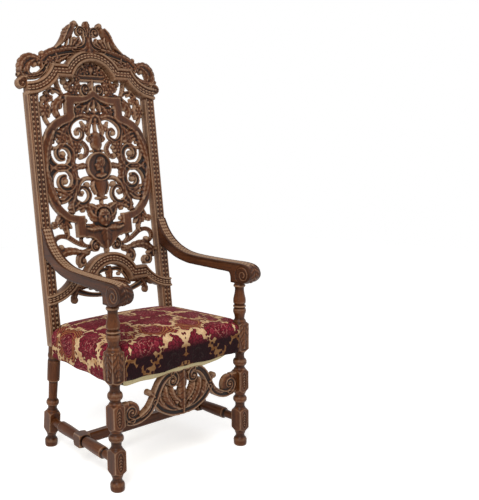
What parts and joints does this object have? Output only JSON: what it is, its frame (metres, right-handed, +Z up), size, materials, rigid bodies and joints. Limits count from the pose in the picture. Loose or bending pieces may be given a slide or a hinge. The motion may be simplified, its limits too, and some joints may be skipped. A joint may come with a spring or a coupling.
{
  "type": "carved armchair",
  "caption": "Tall-backed hall armchair with a pierced strapwork and scroll panel, arched crest and cresting, scrolled arms, turned legs and stretchers, and a stuffed damask seat",
  "frame": {"origin": "On the floor, midway between the front of the arm scrolls and the back of the cresting, and midway between the sides", "axes": "+Z up, the chair faces -Y, +X is to the right of someone who looks at its front"},
  "size_m": [0.651, 0.6175, 1.6057],
  "materials": {
    "carved_walnut": "old brown stain under wax, worn paler on the carved high points",
    "seat_frame_beech": "plain planed wood, unpolished",
    "jute_webbing": "coarse woven tape",
    "horsehair_stuffing": "stitched hair pad in scrim",
    "seat_damask": "figured damask, dark red flowers and leaf scrolls on a straw ground",
    "cream_linen": "plain linen, slack"
  },
  "bodies": {
    "root": {"front_post_left": "carved_walnut", "front_post_right": "carved_walnut", "back_post_left": "carved_walnut", "back_post_right": "carved_walnut", "arm_left": "carved_walnut", "arm_right": "carved_walnut", "side_stretcher_left": "carved_walnut", "side_stretcher_right": "carved_walnut", "cross_stretcher": "carved_walnut", "front_stretcher": "carved_walnut", "crest_rail": "carved_walnut", "cresting": "carved_walnut", "back_panel": "carved_walnut", "lower_back_rail": "carved_walnut", "lower_rail_carving": "carved_walnut", "seat_rail_front": "seat_frame_beech", "seat_rail_back": "seat_frame_beech", "seat_rail_left": "seat_frame_beech", "seat_rail_right": "seat_frame_beech", "corner_brace_front_left": "seat_frame_beech", "corner_brace_front_right": "seat_frame_beech", "corner_brace_back_left": "seat_frame_beech", "corner_brace_back_right": "seat_frame_beech", "back_pegs": "seat_frame_beech", "webbing": "jute_webbing", "seat_stuffing": "horsehair_stuffing", "seat_cover": "seat_damask", "bottoming_cloth": "cream_linen"}
  },
  "joints": []
}
